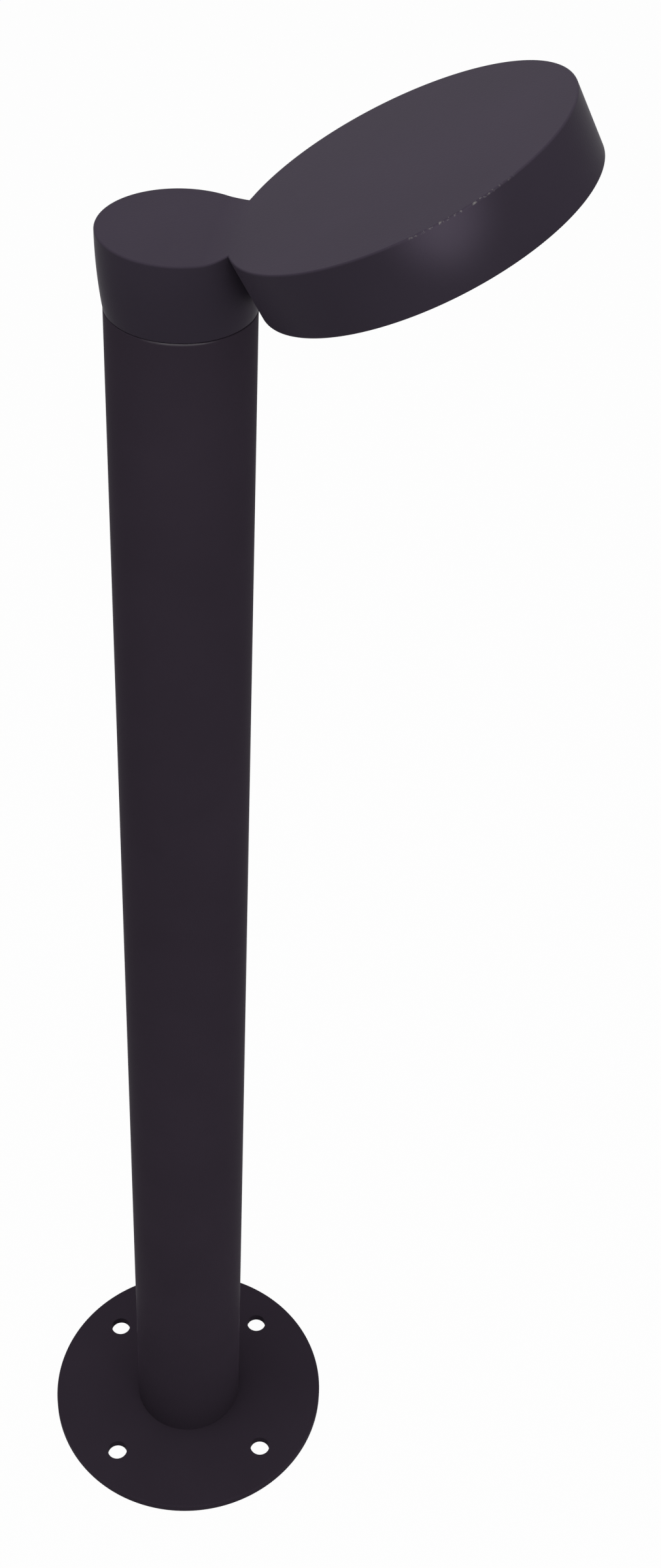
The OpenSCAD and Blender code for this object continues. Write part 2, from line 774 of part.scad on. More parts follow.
// Lead from the driver's case through the grommet and into the disc
module driver_output_lead() {
    up = arc([lead_bend, level_z - lead_bend], lead_bend, 180, 90, arc_steps);
    sweep_centre = [lead_bend + lead_level, level_z + lead_sweep];
    over_edge = arc(sweep_centre, lead_sweep, -90, -90 + disc_tilt, arc_steps / 2);
    flat_path = concat([[0, driver_top], [0, post_top]], up, over_edge, [[lead_end_x, lead_end_z]]);
    path = [for (p = flat_path) [p[0], 0, p[1]]];
    color(white_plastic) swept_lead(path, output_lead_r, [0, 1, 0]);
}

module led_board() {
    color(white_plastic)
    disc_frame() difference() {
        translate([0, 0, lamp_z]) cylinder(r = board_r, h = board_t);
        ring_of(board_screw_count, board_screw_r, 45)
            translate([0, 0, lamp_z - over])
                cylinder(r = small_screw_d / 2 + pass_gap, h = board_t + 2 * over);
    }
}

// Lamp packages in rings on the board
module led_packages() {
    color("khaki")
    disc_frame() for (i = [0 : led_ring_count - 1]) let (r = led_ring_r + i * led_ring_step)
        ring_of(floor(2 * PI * r / led_pitch), r)
            translate([-led_size / 2, -led_size / 2, lamp_z - led_h]) cube([led_size, led_size, led_h]);
}

module board_terminal() {
    color(white_plastic)
    disc_frame()
        translate([-terminal_at - terminal_size[0], -terminal_size[1] / 2, lamp_z - terminal_size[2]])
        cube(terminal_size);
}

module board_screws() {
    color(steel)
    disc_frame() ring_of(board_screw_count, board_screw_r, 45) translate([0, 0, lamp_z - reflector_t])
        rotate([180, 0, 0]) cap_screw(small_screw_d, reflector_t + board_t + rib_h - over);
}

// Spun reflector: a flange under the board and a cone down to the diffuser, notched for the terminal
module reflector() {
    in_r = board_r - reflector_flange;
    low_r = seal_wall_r - slip_gap * 2;
    low_z = seat_z + slip_gap;
    color(white_plastic)
    disc_frame() difference() {
        rotate_extrude() polygon([
            [in_r, lamp_z],
            [board_r, lamp_z],
            [low_r, low_z],
            [low_r - reflector_t * 1.4, low_z],
            [board_r - reflector_t / 2, lamp_z - reflector_t],
            [in_r, lamp_z - reflector_t]
        ]);
        ring_of(board_screw_count, board_screw_r, 45)
            translate([0, 0, lamp_z - reflector_t - over])
                cylinder(r = small_screw_d / 2 + pass_gap, h = reflector_t + 2 * over);
        translate([-seal_wall_r, -terminal_size[1] / 2 - slip_gap, lead_z - output_lead_r - slip_gap])
            cube([seal_wall_r - in_r + 2 * over, terminal_size[1] + 2 * slip_gap, disc_h]);
    }
}

// Opal diffuser with a raised face that fills the bezel's window
module diffuser() {
    top = seat_z - gasket_t;
    color(opal)
    disc_frame() rotate_extrude() polygon([
        [0, top],
        [diffuser_r, top],
        [diffuser_r, top - diffuser_t],
        [window_r - slip_gap, top - diffuser_t],
        [window_r - slip_gap, top - diffuser_t - diffuser_step],
        [0, top - diffuser_t - diffuser_step]
    ]);
}

module diffuser_gasket() {
    color(black_rubber)
    disc_frame() translate([0, 0, seat_z - gasket_t]) tube_ring(diffuser_r - over, seal_wall_r, gasket_t);
}

// Bezel: a deep outer ring that seats on the bosses and a lip under the diffuser
module bezel_ring() {
    edge = 0.6;
    step_r = diffuser_r + slip_gap;
    out_r = disc_in_r - slip_gap;
    color(coat)
    disc_frame() difference() {
        rotate_extrude() polygon([
            [window_r, -disc_h + edge],
            [window_r + edge, -disc_h],
            [out_r - edge, -disc_h],
            [out_r, -disc_h + edge],
            [out_r, seat_z],
            [step_r, seat_z],
            [step_r, -disc_h + bezel_lip],
            [window_r, -disc_h + bezel_lip]
        ]);
        ring_of(bezel_screw_count, bezel_screw_r, bezel_turn)
            translate([0, 0, -disc_h]) rotate([180, 0, 0]) flat_hole(bezel_screw_d, disc_h, pass_gap);
    }
}

module bezel_screws() {
    color(steel)
    disc_frame() ring_of(bezel_screw_count, bezel_screw_r, bezel_turn)
        translate([0, 0, -disc_h + recess]) rotate([180, 0, 0]) flat_screw(bezel_screw_d, bezel_screw_l);
}

base_plate();
base_screws();
post_tube();
post_adapter();
adapter_screws();
neck_seal();
head_housing();
head_grub_screws();
lead_grommet();
gear_tray();
tray_screws();
led_driver();
driver_screws();
supply_connector();
connector_nuts();
connector_clip();
clip_screws();
driver_input_lead();
driver_output_lead();
led_board();
led_packages();
board_terminal();
board_screws();
reflector();
diffuser();
diffuser_gasket();
bezel_ring();
bezel_screws();
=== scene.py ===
"""Bollard light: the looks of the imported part, in turned, extruded and cut pieces."""
import json
import math

import bmesh
import bpy
from bpy.props import FloatProperty, FloatVectorProperty, IntProperty, PointerProperty
from bpy.types import Operator, Panel, PropertyGroup
from mathutils import Matrix, Vector


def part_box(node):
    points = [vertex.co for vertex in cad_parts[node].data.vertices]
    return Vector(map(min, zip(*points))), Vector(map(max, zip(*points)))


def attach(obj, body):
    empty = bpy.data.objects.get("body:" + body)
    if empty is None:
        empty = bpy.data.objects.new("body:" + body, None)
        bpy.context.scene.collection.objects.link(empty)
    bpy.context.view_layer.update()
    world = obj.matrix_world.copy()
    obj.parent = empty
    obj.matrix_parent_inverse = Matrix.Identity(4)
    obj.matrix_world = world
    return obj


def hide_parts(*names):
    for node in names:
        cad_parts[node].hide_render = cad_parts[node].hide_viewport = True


bl_info = {
    "name": "Bollard light",
    "version": (1, 0, 0),
    "blender": (4, 5, 0),
    "location": "3D View > Sidebar > Bollard",
    "description": "Builds the visible pieces, finishes and stage of a bollard light",
    "category": "Add Mesh",
}

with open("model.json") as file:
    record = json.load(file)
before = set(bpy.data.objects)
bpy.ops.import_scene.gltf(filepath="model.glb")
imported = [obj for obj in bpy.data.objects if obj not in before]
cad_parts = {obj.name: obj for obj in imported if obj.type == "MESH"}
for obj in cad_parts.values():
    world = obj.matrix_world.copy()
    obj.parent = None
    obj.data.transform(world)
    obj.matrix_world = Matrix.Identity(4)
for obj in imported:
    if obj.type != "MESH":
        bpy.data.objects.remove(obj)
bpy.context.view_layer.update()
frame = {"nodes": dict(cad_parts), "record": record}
NODES = frame["nodes"]
BODY = "root"

X_AXIS, Y_AXIS, Z_AXIS = range(3)
FULL_TURN = 2 * math.pi
QUARTER = math.pi / 2
MERGE = 1e-6  # points nearer than this are one
OVER = 0.001  # reach of a cutter past the face that it cuts
SHADE_BREAK = 30  # degrees from which the shading breaks at an edge
CUT_EDGE = 60  # degrees from which an edge counts as cut
UPWARD = 0.8  # rise of a normal from which its face counts as a top
WEAR_AND_GLINT = "wear"  # marks the rounded edges: rubbed coat and painted glints on the head, a polished stretch on the post

ROUND_SIDES = 96  # sides of a full turn, more or fewer by the width of a piece
FINE_SIDES = 192
DISC_SIDES = 288
SINK_SIDES = 64
BORE_SIDES = 48
BOSS_SIDES = 32
THREAD_SIDES = 24

PASS_GAP = 0.0003  # round a screw that passes freely
THREAD_GAP = 0.00005  # round a thread in its hole
SEAT_GAP = 0.0001  # round a countersunk head
SLIP_GAP = 0.0003  # between parts that slip into each other
RECESS = 0.0003  # of a countersunk head below its face
BOSS_WALL = 0.0025  # round a threaded hole

HEAD_R = 5 / 6  # radius of a cap screw's head, in shares of its thread
PITCH = 1 / 6  # climb of a thread in one turn, in shares of the thread
TOOTH = 0.55  # depth of a thread, in shares of its climb

TONE_WAVES = 14.0  # waves in a metre, of the coat's change of tone
SPECK_WAVES = 420.0  # of the specks on a rubbed edge, partly painted glints
FINE_PEEL = 3.5  # waves of the fine peel for one of the coarse
POLISH_ROUGH = 0.25  # roughness of a polished stretch
LINE_DEPTH = 0.00002  # of the lines in bare metal

WHITE = (1, 1, 1, 1)
FLOOR_REACH = 8  # from the middle of the floor to its edge
FLOOR_DROP = 0.0002  # of the floor below the plate
SENSOR = 36  # long side of the camera's picture, in millimetres
NEAREST, FARTHEST = 0.05, 50  # from the camera, of what it shows


def length(name, description, default):
    """A size in metres."""
    return FloatProperty(
        name=name, description=description, default=default, unit="LENGTH", precision=4
    )


def point(name, description, default):
    """A place in metres."""
    return FloatVectorProperty(name=name, description=description, default=default, unit="LENGTH")


def plain(name, description, default):
    """A number without a unit."""
    return FloatProperty(name=name, description=description, default=default)


def number(name, description, default):
    """A count of like things."""
    return IntProperty(name=name, description=description, default=default, min=1)


def turn(name, description, degrees):
    """An angle, given in degrees and kept in radians."""
    return FloatProperty(
        name=name, description=description, default=math.radians(degrees), unit="ROTATION"
    )


def tint(name, description, default):
    """A colour in linear light."""
    return FloatVectorProperty(
        name=name, description=description, default=default, size=3, subtype="COLOR", min=0, max=1
    )


def share(name, description, default):
    """A number from nothing to all."""
    return FloatProperty(
        name=name, description=description, default=default, min=0, max=1, subtype="FACTOR"
    )


class BollardPost(PropertyGroup):
    """Sizes of plate and post"""
    base_d: length("Plate diameter", "Diameter of the base plate", 0.2)
    base_t: length("Plate thickness", "Thickness of the base plate", 0.006)
    base_chamfer: length("Plate chamfer", "Chamfer of the plate's top edge", 0.0008)
    anchor_pcd: length("Anchor circle", "Diameter of the circle of the anchor holes", 0.15)
    anchor_d: length("Anchor hole", "Diameter of an anchor hole", 0.014)
    anchor_count: number("Anchor holes", "Number of anchor holes", 4)
    anchor_turn: turn("Anchor turn", "Turn of the first anchor hole", 56)
    cable_d: length("Cable hole", "Diameter of the plate's cable hole", 0.038)
    post_top: length("Post height", "Height of the post's top edge", 0.936)
    post_d: length("Post diameter", "Outer diameter of the post", 0.076)
    post_wall: length("Post wall", "Wall thickness of the post", 0.003)
    joint_chamfer: length("Joint edge", "Post's rounding and cap's chamfer at their joint", 0.0006)
    channel_inset: length("Channel inset", "Distance of a screw channel from the wall", 0.0075)
    channel_wall: length("Channel wall", "Wall round a channel's bore", 0.0024)
    channel_slot: length("Channel slot", "Width of the slot of a channel", 0.0025)
    channel_web: length("Channel web", "Width of a channel's web", 0.005)
    channel_count: number("Channels", "Number of screw channels", 4)
    screw_d: length("Screw thread", "Thread of the screws in the channels", 0.006)
    edge: length("Edge softness", "Rounding that the finish leaves on cut edges", 0.0002)


class BollardHead(PropertyGroup):
    """Sizes of the head and of what it holds"""
    cap_h: length("Cap height", "Height of the cap above the post", 0.042)
    cap_top_d: length("Cap diameter", "Diameter of the cap at its flat top", 0.082)
    wall: length("Wall", "Wall thickness of the casting", 0.003)
    top: length("Top", "Thickness of the casting's top", 0.0035)
    rim_round: length("Rim rounding", "Rounding of the head's outer edges", 0.001)
    crease_blend: length("Crease blend", "Half the width of the blend between cap and disc", 0.007)
    disc_d: length("Disc diameter", "Diameter of the disc at its top", 0.177)
    disc_h: length("Disc height", "Height of the disc", 0.0345)
    disc_tilt: turn("Disc tilt", "Tilt of the disc, its far side up", 28.4)
    disc_near: length("Disc offset", "Distance from the axis to the disc's lowest top edge", 0.0235)
    disc_draft: length("Disc draft", "Radius that the disc's wall loses at its underside", 0.0007)
    rib_count: number("Ribs", "Number of cooling ribs", 12)
    rib_h: length("Rib depth", "Depth of the cooling ribs", 0.008)
    rib_t: length("Rib thickness", "Thickness of a cooling rib", 0.002)
    pad_r: length("Pad radius", "Radius of the pad under the lamp board", 0.026)
    seal_wall_r: length("Gasket wall radius", "Inner radius of the gasket's wall", 0.071)
    seal_wall_t: length("Gasket wall", "Thickness of the wall that carries the gasket", 0.003)
    flange_t: length("Adapter flange", "Height of the straight part inside the cap", 0.006)
    collar_r: length("Collar radius", "Outer radius of the adapter's collar", 0.0215)
    grub_up: length("Grub screw height", "Height of the grub screws above the post", 0.013)
    grub_d: length("Grub screw", "Thread of the head's grub screws", 0.006)
    lip_t: length("Bezel lip", "Thickness of the bezel's lip under the diffuser", 0.003)
    lip_reach: length("Lip reach", "Reach of the bezel's lip under the diffuser", 0.0075)
    bezel_w: length("Bezel ring", "Width of the bezel's deep ring", 0.0087)
    bezel_edge: length("Bezel edge", "Rounding of the bezel's edges", 0.0006)
    diffuser_t: length("Diffuser edge", "Thickness of the diffuser's edge", 0.003)
    diffuser_step: length("Diffuser face", "Depth of the diffuser's raised face", 0.0015)
    gasket_t: length("Gasket", "Thickness of the gasket", 0.0015)
    bezel_screws: number("Bezel screws", "Number of bezel screws", 6)
    bezel_screw_d: length("Bezel screw", "Thread of the bezel's screws", 0.004)
    bezel_screw_l: length("Bezel screw length", "Length of the bezel's screws", 0.016)
    board_screws: number("Board screws", "Number of board screws", 4)
    board_screw_r: length("Board screw circle", "Radius of the board screws' circle", 0.0515)
    board_screw_d: length("Board screw", "Thread of the board's screws", 0.003)
    lead_z: length("Lead level", "Level of the lead under the disc's top", -0.016)
    lead_d: length("Lead", "Diameter of the lead into the disc", 0.005)
    grub_tip_r: length("Grub tip", "Distance of a grub screw's point from the axis", 0.0201)
    tray_screw_d: length("Tray screw", "Thread of the tray's and driver's screws", 0.004)
    board_face: length("Reflector face", "Level of the reflector's flange in the disc", -0.0141)
    chip_side: length("Package", "Side of a lamp package", 0.003)
    chip_h: length("Package height", "Height of a lamp package", 0.0007)
    chip_face: length("Board face", "Level of the board's lamp side in the disc", -0.0131)
    chip_rings: number("Package rings", "Number of rings of packages", 3)
    chip_ring_r: length("Inner ring", "Radius of the inner ring of packages", 0.01)
    chip_ring_step: length("Ring step", "Distance from one ring of packages to the next", 0.012)
    chip_pitch: length("Package pitch", "Distance between packages of a ring", 0.011)


class BollardFinish(PropertyGroup):
    """Looks of the powder coat"""
    coat: tint("Head coat", "Colour of the coat on the head", (0.046, 0.0374, 0.0535))
    post_coat: tint("Post coat", "Colour of the coat on post and plate", (0.0465, 0.0362, 0.051))
    # Lighter colour of the rim's specks: rubbed coat, and a painted highlight that stands in for
    # glints of light
    worn_coat_and_glint: tint("Worn coat", "Colour of the coat where an edge is rubbed", (0.16, 0.15, 0.15))
    coat_rough: share("Coat roughness", "Roughness of the powder coat", 0.42)
    coat_gloss: share("Head gloss", "Strength of the coat's mirror light on the head", 0.012)
    post_gloss: share("Post gloss", "Strength of its mirror light on post and plate", 0.0015)
    # Middle and reach of the rim's specks: rubbed coat, and painted glints where the glow lamp
    # lights the rim
    scuff_and_glint_at: point("Scuff", "Middle of the disc rim's rubbed stretch", (0.1354, -0.0795, 1.0385))
    scuff_and_glint_r: length("Scuff reach", "Reach of the rubbed specks from their middle", 0.034)
    polish_at: point("Polish", "Middle of the joint's polished stretch", (0.0068, -0.0374, 0.9355))
    polish_r: length("Polish reach", "Reach of the polished stretch from its middle", 0.02)
    peel_scale: plain("Peel", "Waves of the orange peel in a metre", 900.0)
    peel_depth: length("Peel depth", "Depth of the orange peel", 0.00006)


class BollardStage(PropertyGroup):
    """Camera, floor and light"""
    eye: point("Eye", "Place of the camera", (0.1788, -0.8883, 1.4346))
    heading: turn("Heading", "Turn of the view from +Y towards +X", -6.203)
    pitch: turn("Pitch", "Angle that the camera looks down", 38.917)
    roll: turn("Roll", "Roll of the camera", 2.832)
    lens: plain("Lens", "Focal length in millimetres", 47.89)
    shift: plain("Shift", "Upward shift of the frame", -0.066)
    floor: tint("Floor", "Colour of the floor", (0.9, 0.9, 0.9))
    floor_glow: share("Floor whiteness", "Share of the floor that shows as plain white", 0.975)
    ambient: plain("Ambient", "Strength of the light from all round", 0.34)


def arc(centre, radius, start, end, steps):
    """Points of an arc in a profile's plane, angles in degrees."""
    angles = [math.radians(start + (end - start) * i / steps) for i in range(steps + 1)]
    return [(centre[0] + radius * math.cos(a), centre[1] + radius * math.sin(a)) for a in angles]


def turned(profile, sides=ROUND_SIDES, closed=False):
    """A solid turned about Z from radii and heights. An open profile gets flat ends."""
    bm = bmesh.new()
    points = [bm.verts.new((r, 0, z)) for r, z in profile]
    edges = [bm.edges.new(pair) for pair in zip(points, points[1:])]
    if closed:
        edges.append(bm.edges.new((points[-1], points[0])))
    bmesh.ops.spin(
        bm, geom=points + edges, cent=(0, 0, 0), axis=(0, 0, 1),
        angle=FULL_TURN, steps=sides, use_merge=True,
    )
    bmesh.ops.remove_doubles(bm, verts=bm.verts, dist=MERGE)
    bmesh.ops.holes_fill(bm, edges=[e for e in bm.edges if e.is_boundary], sides=0)
    bmesh.ops.recalc_face_normals(bm, faces=bm.faces)
    return bm


def rod(radius, low, high, sides=ROUND_SIDES):
    """A plain round bar along Z, for bosses and for cutting holes."""
    return turned([(radius, low), (radius, high)], sides)


def extruded(corners, along):
    """A flat outline, drawn out into a solid."""
    bm = bmesh.new()
    face = bm.faces.new([bm.verts.new(corner) for corner in corners])
    grown = bmesh.ops.extrude_face_region(bm, geom=[face])["geom"]
    moved = [v for v in grown if isinstance(v, bmesh.types.BMVert)]
    bmesh.ops.translate(bm, vec=along, verts=moved)
    bmesh.ops.recalc_face_normals(bm, faces=bm.faces)
    return bm


def block(low, high):
    """A box between two corners."""
    left, front, bottom = low
    right, back, top = high
    ground = [(left, front), (right, front), (right, back), (left, back)]
    return extruded([(x, y, bottom) for x, y in ground], (0, 0, top - bottom))


def around(count, radius, start=None):
    """Places on a ring, each facing outwards. The first is half a step on, unless it is given."""
    first = math.pi / count if start is None else start
    for i in range(count):
        facing = Matrix.Rotation(first + FULL_TURN * i / count, 4, "Z")
        yield facing @ Matrix.Translation((radius, 0, 0))


def upside_down():
    return Matrix.Rotation(math.pi, 4, "X")


def as_object(bm, name, place=None):
    """Turns a bmesh into an object of the scene."""
    if place is not None:
        bmesh.ops.transform(bm, matrix=place, verts=bm.verts)
    mesh = bpy.data.meshes.new(name)
    bm.to_mesh(mesh)
    bm.free()
    made = bpy.data.objects.new(name, mesh)
    bpy.context.scene.collection.objects.link(made)
    return made


def discard(spent):
    """Removes an object and its mesh."""
    mesh = spent.data
    bpy.data.objects.remove(spent)
    bpy.data.meshes.remove(mesh)


def combine(body, tool, operation):
    """Joins a tool to a body, cuts it away or keeps what both share, and removes the tool."""
    step = body.modifiers.new(operation, "BOOLEAN")
    step.operation = operation
    step.solver = "MANIFOLD"
    step.object = tool
    graph = bpy.context.evaluated_depsgraph_get()
    result = bpy.data.meshes.new_from_object(body.evaluated_get(graph))
    body.modifiers.clear()
    old = body.data
    body.data = result
    bpy.data.meshes.remove(old)
    discard(tool)
    if not result.polygons:
        raise RuntimeError(f"{body.name}: the {operation.lower()} left nothing")


def join(body, bm, place=None):
    combine(body, as_object(bm, "tool", place), "UNION")


def cut(body, bm, place=None):
    combine(body, as_object(bm, "tool", place), "DIFFERENCE")


def keep(body, bm, place=None):
    combine(body, as_object(bm, "tool", place), "INTERSECT")


def soften(body, picks, offset, segments):
    """Rounds the edges that picks chooses, and marks the new bands where the coat may be rubbed and
    where glints are painted.
    """
    bm = bmesh.new()
    bm.from_mesh(body.data)
    bmesh.ops.dissolve_degenerate(bm, dist=MERGE, edges=bm.edges)
    layer = bm.verts.layers.float.get(WEAR_AND_GLINT) or bm.verts.layers.float.new(WEAR_AND_GLINT)
    edges = [e for e in bm.edges if e.is_manifold and picks(e)]
    made = bmesh.ops.bevel(
        bm, geom=edges, offset=offset, offset_type="OFFSET", segments=segments, profile=0.5,
        affect="EDGES", material=-1, clamp_overlap=False,
    )
    bands = set(made["faces"])
    for v in made["verts"]:
        if v.is_valid and v.link_faces and all(f in bands for f in v.link_faces):
            v[layer] = 1.0
    bm.to_mesh(body.data)
    bm.free()


def mark_wear(body, picks):
    """Marks the vertices that picks chooses for the wear of the finish."""
    layer = body.data.attributes.new(WEAR_AND_GLINT, "FLOAT", "POINT")
    for v, mark in zip(body.data.vertices, layer.data):
        mark.value = float(picks(v))


def tidy_mesh(mesh):
    """Takes out the hair-thin edges and faces that cutting leaves."""
    bm = bmesh.new()
    bm.from_mesh(mesh)
    bmesh.ops.dissolve_degenerate(bm, dist=MERGE, edges=bm.edges)
    bm.to_mesh(mesh)
    bm.free()


def finish_piece(body, name, node, slot):
    """Names and shades a finished piece, and hides the node that it stands for."""
    tidy_mesh(body.data)
    body.name = name
    body.data.name = name
    body.data.materials.clear()
    body.data.materials.append(bpy.data.materials[slot])
    body.data.shade_smooth()
    body.data.set_sharp_from_angle(angle=math.radians(SHADE_BREAK))
    weigh = body.modifiers.new("Even normals", "WEIGHTED_NORMAL")
    weigh.keep_sharp = True
    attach(body, BODY)
    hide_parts(node)


class Link:
    """A socket of a material's nodes. Arithmetic on it adds Math nodes."""

    def __init__(self, tree, socket=None):
        self.tree = tree
        self.socket = socket

    def node(self, kind, settings=(), sockets=(), output=0):
        """Adds any other node: its settings first, then the values or links of its sockets."""
        made = self.tree.nodes.new(kind)
        for name, value in dict(settings).items():
            setattr(made, name, value)
        for name, value in dict(sockets).items():
            if isinstance(value, Link):
                self.tree.links.new(value.socket, made.inputs[name])
            else:
                made.inputs[name].default_value = value
        return Link(self.tree, made.outputs[output]) if made.outputs else made

    def maths(self, operation, first, second):
        return self.node("ShaderNodeMath", {"operation": operation}, {0: first, 1: second})

    def __add__(self, other):
        return self.maths("ADD", self, other)

    def __radd__(self, other):
        return self.maths("ADD", other, self)

    def __sub__(self, other):
        return self.maths("SUBTRACT", self, other)

    def __rsub__(self, other):
        return self.maths("SUBTRACT", other, self)

    def __mul__(self, other):
        return self.maths("MULTIPLY", self, other)

    def __rmul__(self, other):
        return self.maths("MULTIPLY", other, self)


def opaque(colour, times=1.0):
    """A colour as nodes take it, made lighter or darker."""
    return (*(times * part for part in colour), 1.0)


def new_material(name):
    """Clears a material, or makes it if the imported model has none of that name."""
    material = bpy.data.materials.get(name) or bpy.data.materials.new(name)
    material.use_nodes = True
    material.node_tree.nodes.clear()
    return Link(material.node_tree)


def on_piece(start):
    """The place of a point on its piece."""
    return start.node("ShaderNodeTexCoord", output="Object")


def surface(start, sockets):
    """Ends a material in one shader."""
    shader = start.node("ShaderNodeBsdfPrincipled", (), sockets)
    start.node("ShaderNodeOutputMaterial", (), {"Surface": shader})


def noise(start, place, scale, detail=2.0, rough=0.5):
    """Soft random values from 0 to 1 over the piece, scale in waves per metre."""
    settings = {"noise_dimensions": "3D"}
    sockets = {"Vector": place, "Scale": scale, "Detail": detail, "Roughness": rough}
    return start.node("ShaderNodeTexNoise", settings, sockets)


def sway(value, width):
    """Turns values from 0 to 1 into a change of the given width about zero."""
    return width * (value - 0.5)


def over_range(start, value, low, high, out_low=0.0, out_high=1.0):
    """Spreads the values between low and high over another range, and clamps them."""
    return start.node("ShaderNodeMapRange", {"clamp": True}, {
        "Value": value, "From Min": low, "From Max": high, "To Min": out_low, "To Max": out_high
    })


def mixed(start, factor, first, second):
    """A colour between two others. The node's sockets for colours can only be told by number."""
    settings = {"data_type": "RGBA"}
    return start.node("ShaderNodeMix", settings, {0: factor, 6: first, 7: second}, output=2)


def bump(start, height, depth):
    """A rough surface of the given depth."""
    sockets = {"Height": height, "Distance": depth, "Strength": 1.0}
    return start.node("ShaderNodeBump", (), sockets)


def patch_round(start, place, middle, reach):
    """1 near a point, falling to 0 at a distance from it."""
    settings = {"operation": "DISTANCE"}
    away = start.node("ShaderNodeVectorMath", settings, {0: place, 1: middle}, output="Value")
    return over_range(start, away, 0.3 * reach, reach, 1.0, 0.0)


def powder_coat(name, finish, coat, gloss, scuffed_and_glinting=False, polished=False):
    """Satin powder coat: fine peel, a faint change of tone, and, where asked, a polished edge and
    lighter specks on a rim, which are partly rubbed coat and partly a painted highlight.
    """
    start = new_material(name)
    place = on_piece(start)
    tone = noise(start, place, TONE_WAVES, detail=3.0)
    peel = noise(start, place, finish.peel_scale, rough=0.55)
    fine = noise(start, place, FINE_PEEL * finish.peel_scale, detail=1.0)
    colour = mixed(start, over_range(start, tone, 0.35, 0.65), opaque(coat), opaque(coat, 1.09))
    rough = finish.coat_rough + sway(tone, 0.10) + sway(peel, 0.06)
    height = peel + 0.3 * fine
    sockets = {"Specular IOR Level": gloss}
    if scuffed_and_glinting or polished:
        wear = start.node("ShaderNodeAttribute", {"attribute_name": WEAR_AND_GLINT}, output="Fac")
    if scuffed_and_glinting:
        # Lighter specks along the disc's front rim: partly rubbed coat, partly a painted highlight
        # of glints
        specks = noise(start, place, SPECK_WAVES, detail=3.0, rough=0.7)
        rubbed_and_glint = wear * patch_round(start, place, finish.scuff_and_glint_at, finish.scuff_and_glint_r)
        rubbed_and_glint = rubbed_and_glint * over_range(start, specks, 0.54, 0.63)
        colour = mixed(start, rubbed_and_glint, colour, opaque(finish.worn_coat_and_glint))
        rough = rough - 0.12 * rubbed_and_glint
        height = height - 0.5 * rubbed_and_glint
    if polished:
        patch = patch_round(start, place, finish.polish_at, finish.polish_r)
        sockets["Coat Weight"] = wear * patch
        sockets["Coat Roughness"] = POLISH_ROUGH
    surface(start, {
        "Base Color": colour,
        "Roughness": rough,
        "Normal": bump(start, height, finish.peel_depth),
        **sockets,
    })


def metal(name, colour, rough, grain=(60.0, 60.0, 2400.0)):
    """Bare metal with fine lines from its making, grain in waves per metre along each axis."""
    start = new_material(name)
    place = on_piece(start)
    stretched = start.node("ShaderNodeMapping", {"vector_type": "TEXTURE"}, {
        "Vector": place, "Scale": tuple(1.0 / g for g in grain)
    })
    lines = noise(start, stretched, 1.0, detail=3.0, rough=0.6)
    clouds = noise(start, place, 90.0, detail=3.0)
    surface(start, {
        "Base Color": mixed(start, clouds, opaque(colour, 0.9), opaque(colour)),
        "Metallic": 1.0,
        "Roughness": rough + sway(lines, 0.18) + sway(clouds, 0.1),
        "Normal": bump(start, lines, LINE_DEPTH),
    })


def moulded(name, colour, rough, grain=2200.0, depth=0.00003):
    """Moulded plastic or rubber with a fine skin."""
    start = new_material(name)
    place = on_piece(start)
    skin = noise(start, place, grain)
    clouds = noise(start, place, 45.0, detail=3.0)
    surface(start, {
        "Base Color": mixed(start, clouds, opaque(colour, 0.92), opaque(colour)),
        "Roughness": rough + sway(clouds, 0.12) + sway(skin, 0.05),
        "Normal": bump(start, skin, depth),
    })


class BollardMaterials(Operator):
    """Makes every finish of the bollard light"""
    bl_idname = "bollard.materials"
    bl_label = "Finishes"

    def execute(self, context):
        finish = context.scene.bollard_finish
        powder_coat("coated_plate", finish, finish.post_coat, finish.post_gloss)
        powder_coat("coated_post", finish, finish.post_coat, finish.post_gloss, polished=True)
        powder_coat("coated_casting", finish, finish.coat, finish.coat_gloss, scuffed_and_glinting=True)
        metal("cast_aluminium", (0.62, 0.63, 0.64), 0.45, (300.0, 300.0, 300.0))
        metal("tray_sheet", (0.70, 0.71, 0.72), 0.32)
        metal("stainless_screws", (0.43, 0.43, 0.44), 0.3, (900.0, 900.0, 900.0))
        moulded("seal_rubber", (0.018, 0.018, 0.018), 0.7)
        moulded("driver_case", (0.78, 0.78, 0.76), 0.5)
        moulded("connector_plastic", (0.022, 0.022, 0.023), 0.48)
        moulded("white_plastic", (0.80, 0.80, 0.78), 0.42)
        moulded("lead_sheath", (0.03, 0.03, 0.03), 0.55)
        moulded("board_white", (0.82, 0.83, 0.82), 0.38)
        moulded("lamp_phosphor", (0.86, 0.66, 0.16), 0.35)
        moulded("reflector_white", (0.86, 0.86, 0.85), 0.3)
        moulded("opal_diffuser", (0.84, 0.84, 0.82), 0.32, grain=1400.0, depth=0.00002)
        for entry in frame["record"]["subparts"]:
            for slot in NODES[entry["node"]].material_slots:
                slot.material = bpy.data.materials[entry["material_slot"]]
        return {"FINISHED"}


def sharper_than(degrees):
    """Chooses the edges where two faces meet at more than an angle."""
    limit = math.radians(degrees)
    return lambda edge: edge.calc_face_angle(0) > limit


def channels(post):
    """Places of the post's screw channels."""
    reach = post.post_d / 2 - post.post_wall - post.channel_inset
    return list(around(post.channel_count, reach))


def flat_hole(d, depth):
    """The hole of a countersunk screw, its mouth at zero and its bore below."""
    return turned([
        (d / 2 + PASS_GAP, -depth),
        (d / 2 + PASS_GAP, -d / 2 - RECESS + PASS_GAP - SEAT_GAP),
        (d + SEAT_GAP, -RECESS),
        (d + SEAT_GAP, OVER),
    ], SINK_SIDES)


